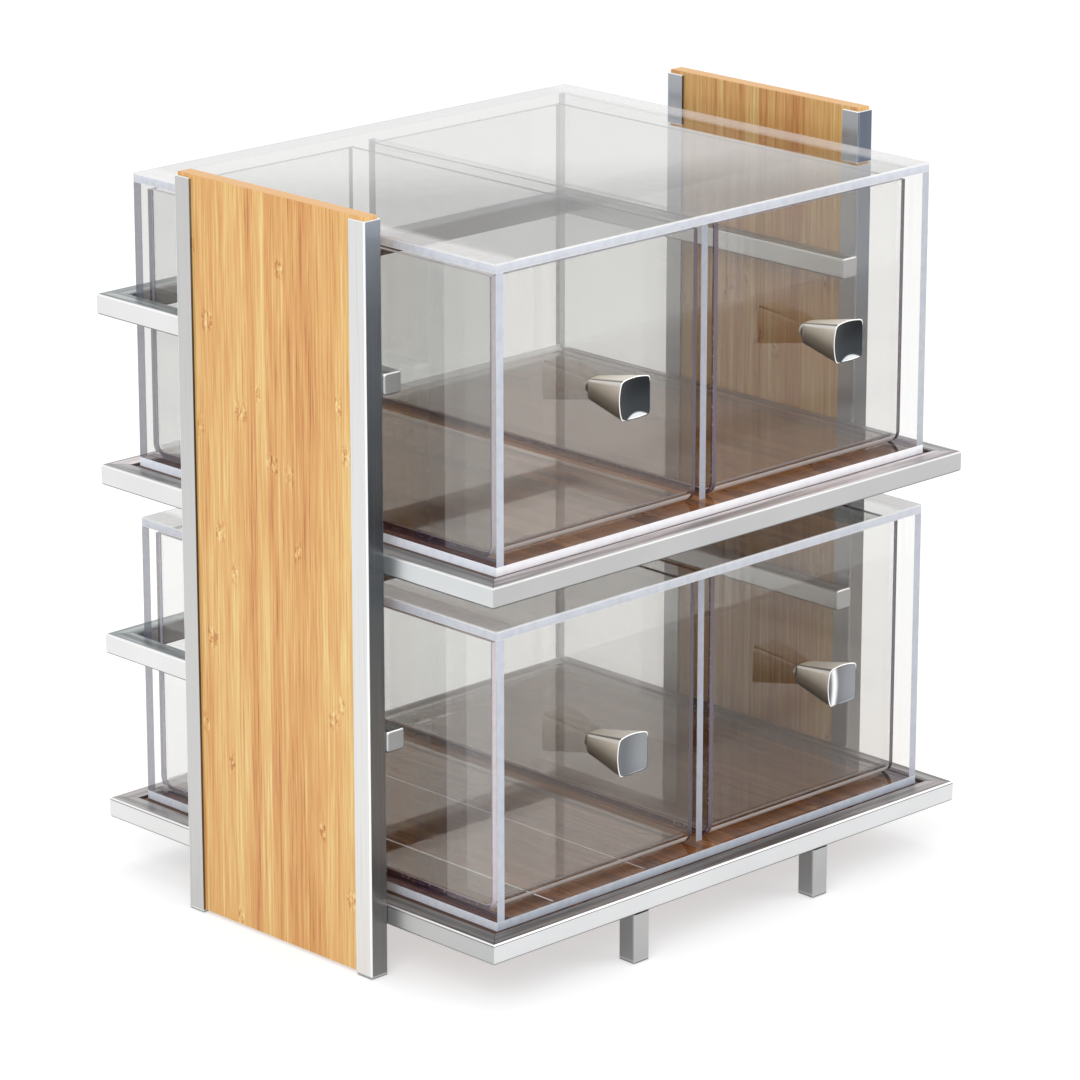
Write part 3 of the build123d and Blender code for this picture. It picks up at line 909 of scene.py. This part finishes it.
# %% Skin
def skin(name, rings, marks=None, smooth=False):
    """Closed surface through rings[station, around] = (x, y, z), with both ends capped."""
    stations, around = rings.shape[:2]
    index = np.arange(stations * around).reshape(stations, around)
    beside = np.roll(index, -1, axis=1)
    quads = np.stack([index[:-1], beside[:-1], beside[1:], index[1:]], axis=-1).reshape(-1, 4)
    faces = quads.tolist() + [index[0, ::-1].tolist(), index[-1].tolist()]
    mesh = bpy.data.meshes.new(name)
    mesh.from_pydata(rings.reshape(-1, 3).tolist(), [], faces)
    for mark, values in (marks or {}).items():
        attribute = mesh.attributes.new(mark, "FLOAT", "POINT")
        attribute.data.foreach_set("value", values.ravel().astype(np.float32))
    # signed volume: the sum of corner . (next x after) over fans of each face
    mesh.calc_loop_triangles()
    corner = np.array([t.vertices[:] for t in mesh.loop_triangles])
    a, b, c = np.moveaxis(rings.reshape(-1, 3)[corner], 1, 0)
    if np.einsum("ij,ij->", a, np.cross(b, c)) < 0:
        mesh.flip_normals()
    if smooth:
        mesh.polygons.foreach_set("use_smooth", [True] * len(mesh.polygons))
    piece = bpy.data.objects.new(name, mesh)
    bpy.context.scene.collection.objects.link(piece)
    return piece


print("skin ready")

# %% [markdown]
# ## Knobs
# Each knob is a square bar of satin nickel that widens to the front, with bowed sides, small
# round corners and a hollow face. A high superellipse gives the corners, and dividing each
# coordinate by 1 - b * (the other) ** 2 bows the sides. The outline is scaled from the drawer to
# the rim, turned over the rim on a small arc, and carried down the hollow, a part of a sphere.

# %% Knob shape
KNOB_POWER, KNOB_BOW, KNOB_LENGTH, RIM = 14.0, 0.10, 31.0 * MM, 0.6 * MM
KNOB_HALF_BASE, KNOB_HALF_FACE = 6.35 * MM, 12.1 * MM
HOLLOW, HOLLOW_DEPTH = 50.0 * MM, 2.25 * MM
AROUND, SIDE_RINGS, RIM_RINGS, HOLLOW_RINGS = 144, 14, 12, 21


def knob_outline(around):
    """Angles and radii of the bowed square |x/(1-b*y*y)|**n + |y/(1-b*x*x)|**n = 1.

    The angles crowd into the corners, and the radius is found by putting it back in 40 times.
    """
    turn = np.linspace(0, 2 * np.pi, around, endpoint=False)
    angle = turn + 0.2 * np.sin(4 * turn)
    c, s = np.cos(angle), np.sin(angle)
    radius = np.ones(around)
    for _ in range(40):
        wide = np.abs(c) / (1 - KNOB_BOW * (s * radius) ** 2)
        tall = np.abs(s) / (1 - KNOB_BOW * (c * radius) ** 2)
        radius = (wide**KNOB_POWER + tall**KNOB_POWER) ** (-1 / KNOB_POWER)
    return angle, radius


def knob_rings(length):
    """Rings for a knob from y = 0 to y = -length, centred on x = z = 0, and its four marks."""
    angle, radius = knob_outline(AROUND)
    outline = np.stack([np.cos(angle) * radius, np.sin(angle) * radius], axis=-1)

    def hollow(half):
        """Height of the hollow where the outline has this half size."""
        reach = np.clip(half * radius, 0, HOLLOW)
        return length - HOLLOW_DEPTH + HOLLOW - np.sqrt(HOLLOW**2 - reach**2)

    crest = hollow(KNOB_HALF_FACE - RIM)
    sides = np.linspace(0, 1, SIDE_RINGS)
    turn = np.linspace(0, np.pi, RIM_RINGS + 1)[1:]
    inward = (KNOB_HALF_FACE - RIM) * np.linspace(1, 0.002, HOLLOW_RINGS + 1)[1:]
    halves = np.concatenate([
        KNOB_HALF_BASE + (KNOB_HALF_FACE - KNOB_HALF_BASE) * sides,
        KNOB_HALF_FACE - RIM * 0.5 * (1 - np.cos(turn)),
        inward,
    ])
    heights = np.concatenate([
        sides[:, None] * (crest - RIM * 0.5),
        crest - RIM * 0.5 + RIM * 0.5 * (np.sin(turn) + turn / np.pi * 0.6)[:, None],
        hollow(inward[:, None]),
    ])
    flat = outline[None] * halves[:, None, None]
    rings = np.stack([flat[..., 0], -heights, flat[..., 1]], axis=-1)
    over_rim = np.linspace(0, 1, RIM_RINGS)
    hollow_mark = np.concatenate([np.zeros(SIDE_RINGS), over_rim, np.ones(HOLLOW_RINGS)])
    reach_mark = np.append(sides, np.ones(RIM_RINGS + HOLLOW_RINGS))
    # rise and slant run from -1 to 1 across a section, and across the whole face in the hollow
    across = np.where(hollow_mark < 1, halves, halves.max())[:, None, None]
    marks = {"rise": (flat / across)[..., 1], "slant": (flat / across)[..., 0]}
    for mark, values in (("hollow", hollow_mark), ("reach", reach_mark)):
        marks[mark] = np.repeat(values[:, None], len(angle), axis=1)
    return rings, marks


print("knob is", KNOB_LENGTH, "m long and", 2 * KNOB_HALF_FACE, "m across")

# %% [markdown]
# ## Satin nickel
# The knobs are brushed along their length. Their bowed sides are dark below and bright above,
# a long corner shows as a dark line over a bright one, and the hollow mirrors, very small, all
# that stands in front. A studio full of cards could give those reflections. Here they are
# painted by four numbers that skin() leaves on every point, so that they follow the shape: how
# far up and across it is, how far out along the knob, and how far into the hollow.

# %% Knob finish
BRUSHED, BRUSHED_RUN, BRUSHED_TINT = 2200.0, 120.0, (0.74, 0.74, 0.74, 1)
CORNER_BRIGHT, CORNER_DARK = (0.96, 0.94, 0.90, 1), (0.10, 0.085, 0.07, 1)
HOLLOW_LOW, HOLLOW_HIGH = (0.052, 0.058, 0.064, 1), (0.020, 0.022, 0.025, 1)
COUNTER_LEFT, COUNTER_RIGHT = (0.14, 0.148, 0.16, 1), (0.27, 0.28, 0.295, 1)
CRESCENT, STREAK = (0.70, 0.71, 0.72, 1), (1.0, 1.0, 1.0, 1)
RIM_LIT, RIM_UNLIT = (1.0, 0.98, 0.95, 1), (0.09, 0.09, 0.09, 1)
BETWEEN_TIERS = 0.22
nickel = Finish("satin_nickel")
across, ahead, up = nickel.place()
fibres = nickel.point(across * BRUSHED, ahead * BRUSHED_RUN, up * BRUSHED)
brushed = nickel.noise(fibres, 1.0, 3.0)
dish, rise, slant, reach = [
    nickel.node("ShaderNodeAttribute", {"attribute_name": mark}, output="Fac")
    for mark in ("hollow", "rise", "slant", "reach")
]
SIDE_TONES = [
    (0.00, (0.050, 0.042, 0.032)),
    (0.34, (0.24, 0.205, 0.16)),
    (0.68, (0.66, 0.60, 0.50)),
    (0.92, (0.92, 0.87, 0.79)),
]
tone = rise * (0.36 + reach * 0.14) + 0.30 + reach * 0.20
sides = nickel.node("ShaderNodeValToRGB", {"stops": SIDE_TONES}, {0: tone})
# a long corner shows a dark line on its top side and a bright one below it
corner, above_corner = 0.0 - rise * slant, (rise + slant).over(0.0)
below = corner.step(0.62, 0.72) * (1.0 - above_corner)
sides = nickel.mix(below * 0.8, sides, CORNER_BRIGHT)
sides = nickel.mix(corner.step(0.66, 0.74) * above_corner * 0.8, sides, CORNER_DARK)
sides = nickel.mix(brushed.step(0.35, 0.75) * 0.3, sides, BRUSHED_TINT, "MULTIPLY")
# a hollow mirrors a dark room, and the bright counter as a crescent low down on its right
bow = slant - 0.18
crescent = 1.0 - (rise + bow * bow * 0.5).step(-0.76, -0.66)
inside = nickel.mix(rise.step(-0.9, 0.8), HOLLOW_LOW, HOLLOW_HIGH)
inside = nickel.mix(crescent, inside, CRESCENT)
# the lower two mirror mostly counter: mid grey, the right one with a bright streak on its left
streak = 1.0 - (slant + 0.42 + rise * rise * 0.3).size().step(0.04, 0.34)
counter = nickel.mix(slant.step(-0.7, 0.8), COUNTER_LEFT, COUNTER_RIGHT)
counter = nickel.mix(streak * across.over(0.0) * 0.8, counter, STREAK)
inside = nickel.mix(up.over(BETWEEN_TIERS), counter, inside)
# the rim is lit along its top and its left
lit = rise.step(0.55, 0.85).larger((0.0 - slant).step(0.55, 0.85))
face = nickel.mix(dish.step(0.72, 0.95), nickel.mix(lit, RIM_UNLIT, RIM_LIT), inside)
on_face = dish.step(0.02, 0.20)
nickel_metal = nickel.surface(
    nickel.principled(
        Base_Color=nickel.mix(on_face, sides, face),
        Metallic=0.45 + on_face * 0.55,
        Roughness=0.36 + brushed * 0.08 - on_face * 0.16,
        Normal=nickel.bump(brushed, 0.000003),
    )
)
print("nickel side tones:", len(SIDE_TONES))

# %% [markdown]
# ## The four knobs
# Each fine knob takes the place of the exact model's plainer one and rides on its drawer. One
# mesh could serve all four, but each needs its own place, and its points are few.

# %% Four knobs
for tier in TIERS:
    for side in SIDES:
        body = f"{tier}_{side}_drawer"
        low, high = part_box(body + "_knob")
        rings, marks = knob_rings(KNOB_LENGTH)
        rings = rings + np.array([(low.x + high.x) / 2, high.y, (low.z + high.z) / 2])
        knob = skin(body + "_square_knob", rings, marks, smooth=True)
        knob.data.materials.append(nickel_metal)
        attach(knob, body)
        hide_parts(body + "_knob")
print("knob rings:", rings.shape)

# %% [markdown]
# ## Glued edges of the drawers
# The front, bottom and back of a drawer are one bent sheet, and its cut edges are glued to the
# two flat sides. Seen through a side, the glued edge is a pale band 3 mm wide that follows
# the bends. Clear sheet without refraction can't bring that edge forward, so it is made as a
# thin ribbon just inside the side sheet: two outlines, one the sheet's thickness inside the
# other, each a straight, an arc, a straight, an arc and a straight.

# %% Ribbon outline
SHEET, BEND = 3.0 * MM, 8.0 * MM
RIBBON, INSIDE, ARC_POINTS = 0.05 * MM, 1.3 * MM, 13


def bend_outline(front, back, floor_height, top, inset):
    """(y, z) along the bent sheet, inset from its outside; arcs are centre + r (cos a, sin a)."""
    radius = BEND - inset
    first = np.linspace(np.pi, 1.5 * np.pi, ARC_POINTS)
    second = np.linspace(1.5 * np.pi, 2 * np.pi, ARC_POINTS)
    arcs = [
        np.stack([middle + radius * np.cos(a), floor_height + BEND + radius * np.sin(a)], axis=-1)
        for middle, a in ((front + BEND, first), (back - BEND, second))
    ]
    return np.concatenate([[[front + inset, top]], arcs[0], arcs[1], [[back - inset, top]]])


print("a bend's outside radius:", BEND)

# %% [markdown]
# ## Glue
# Dried glue is pale with mauve streaks that run along the joint, and darker towards its inner
# edge. Along the floor it shows the plum colour of the base with one pale line. Noise that is
# stretched along the ribbon draws the streaks, and alpha keeps it to the face that looks out.

# %% Glue finish
BAND_PLUM, BAND_LINE, BAND_SPECK = srgb(80, 46, 70), srgb(220, 208, 220), srgb(246, 240, 244)


def glued_edge(way_out, streaks):
    """Painted only on the face that looks way_out, -1 or 1 along x, and only from that side."""
    glue = Finish("glued_edge")
    gx, gy, gz = glue.place()
    share = glue.node("ShaderNodeAttribute", {"attribute_name": "share"}, output="Fac")
    inside = glue.node("ShaderNodeNewGeometry", output="Backfacing")
    lines = glue.noise(glue.point(share * 5.0, gy * 2.5, gz * 2.5), 1.0, 2.0)
    speck = glue.noise(glue.point(gx * 900.0, gy * 500.0, gz * 500.0), 1.0, 2.0)
    floor_share = glue.node("ShaderNodeAttribute", {"attribute_name": "floor"}, output="Fac")
    pale, mauve, dark = streaks
    colour = glue.mix(lines.step(0.38, 0.60), mauve, pale)
    colour = glue.mix(share.step(0.58, 0.80), colour, dark)
    plum = glue.mix(share.step(0.80, 0.86), BAND_PLUM, BAND_LINE)
    colour = glue.mix(floor_share.step(0.55, 0.95), colour, plum)
    colour = glue.mix(speck.step(0.55, 0.7) * 0.35, colour, BAND_SPECK)
    shown = (glue.facing()[0] * way_out).over(0.5) * (1.0 - inside)
    alpha = shown * (0.86 + floor_share * 0.13)
    return glue.surface(glue.principled(Base_Color=colour, Roughness=0.3, Alpha=alpha))


# %% [markdown]
# ## The eight ribbons
# A drawer has two glued edges, one at each side. Those of the left drawers catch more light, so
# their streaks are paler. Each ribbon rides on its drawer.

# %% Eight ribbons
PALE_STREAKS = srgb(226, 220, 236), srgb(196, 184, 206), srgb(120, 112, 138)
DARK_STREAKS = srgb(150, 132, 140), srgb(104, 90, 102), srgb(70, 60, 72)
for side, streaks in (("left", PALE_STREAKS), ("right", DARK_STREAKS)):
    for edge, way_out in (("left", -1), ("right", 1)):
        glued = glued_edge(way_out, streaks)
        for tier in TIERS:
            body = f"{tier}_{side}_drawer"
            low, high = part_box(f"{body}_{edge}_side")
            middle = (low.x if way_out > 0 else high.x) + way_out * INSIDE
            outer = bend_outline(low.y, high.y, low.z, high.z, 0.0)
            inner = bend_outline(low.y, high.y, low.z, high.z, SHEET)
            ring = [(outer, -1, 0.0), (inner, -1, 1.0), (inner, 1, 1.0), (outer, 1, 0.0)]
            rings = np.stack(
                [np.insert(line, 0, middle + way * RIBBON / 2, axis=1) for line, way, _ in ring],
                axis=1,
            )
            floor_mark = np.clip(1 - (outer[:, 1:] - low.z) / BEND, 0, 1)
            marks = {
                "share": np.tile([mark for _, _, mark in ring], (len(outer), 1)),
                "floor": np.repeat(floor_mark, len(ring), axis=1),
            }
            ribbon = skin(f"{body}_{edge}_glued_edge", rings, marks)
            ribbon.data.materials.append(glued)
            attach(ribbon, body)
print("ribbon rings:", rings.shape)

# %% [markdown]
# ## Screws
# The pan-head screws under the slats and behind the knobs are turned steel and hardly show.
# A scratch direction would need a finish for each way that they point, so one fine, even grain
# in colour, roughness and relief does for all of them.

# %% Screw finish
turned = Finish("turned_steel")
GRAINS, TURNED_DARK, TURNED_PALE = 2600.0, (0.50, 0.50, 0.50, 1), (0.60, 0.60, 0.60, 1)
grain = turned.noise(turned.point(*turned.place()), GRAINS, 2.0)
screw_steel = turned.surface(
    turned.principled(
        Base_Color=turned.mix(grain, TURNED_DARK, TURNED_PALE),
        Metallic=1.0,
        Roughness=0.28 + grain * 0.1,
        Normal=turned.bump(grain, 0.00001),
    )
)
dress("slat_screws", screw_steel)
for tier in TIERS:
    for side in SIDES:
        dress(f"{tier}_{side}_drawer_knob_screw", screw_steel)
        dress(f"{tier}_{side}_drawer_knob", nickel_metal)
bare = [n for n, o in nodes.items() if len(o.material_slots) == 0]
print("nodes with no slot:", bare)
